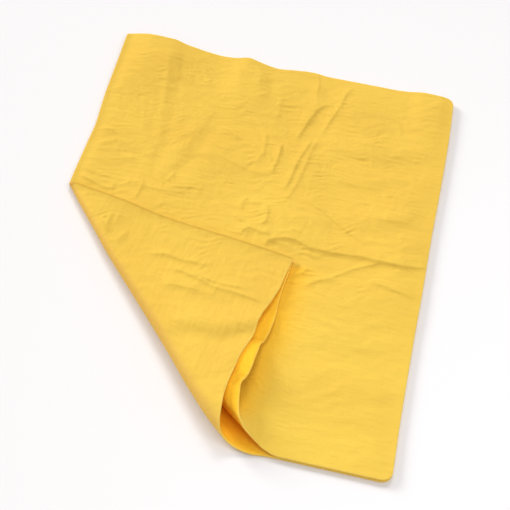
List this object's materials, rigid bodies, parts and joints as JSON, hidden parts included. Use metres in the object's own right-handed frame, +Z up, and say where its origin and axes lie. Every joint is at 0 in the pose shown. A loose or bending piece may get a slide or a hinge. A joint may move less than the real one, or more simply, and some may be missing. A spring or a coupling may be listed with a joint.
{
  "type": "drying cloth",
  "caption": "Thick absorbent drying cloth folded in half, with one corner of the doubled cloth turned over in a soft roll.",
  "frame": {"origin": "on the table, under the middle of the folded cloth", "axes": "+Z up, +Y along the spine fold towards the far edge, +X from the spine fold towards the open edges"},
  "size_m": [0.3301, 0.4313, 0.0256],
  "materials": {
    "cloth": "matt non-woven yellow cloth, finely wrinkled"
  },
  "bodies": {
    "base": {"lower_ply_panel": "cloth", "upper_ply_panel": "cloth", "spine_bend": "cloth", "roll_lower_ply": "cloth", "roll_upper_ply": "cloth", "roll_spine_bend": "cloth"},
    "turned_corner": {"corner_lower_ply": "cloth", "corner_upper_ply": "cloth", "corner_spine_bend": "cloth"},
    "upper_ply_free": {"upper_ply_free_side": "cloth"}
  },
  "joints": [
    {"name": "corner_turn", "type": "hinge", "parent": "base", "child": "turned_corner", "pos_m": [-0.05811, -0.10534, 0.00915], "axis": [0.6858, -0.7272, 0.0299], "range_deg": [0, 179.33], "deforming": ["roll_lower_ply", "roll_upper_ply", "roll_spine_bend"]},
    {"name": "ply_lift", "type": "hinge", "parent": "base", "child": "upper_ply_free", "pos_m": [0.085, 0, 0.0043], "axis": [0, -1, 0], "range_deg": [0, 150]}
  ]
}
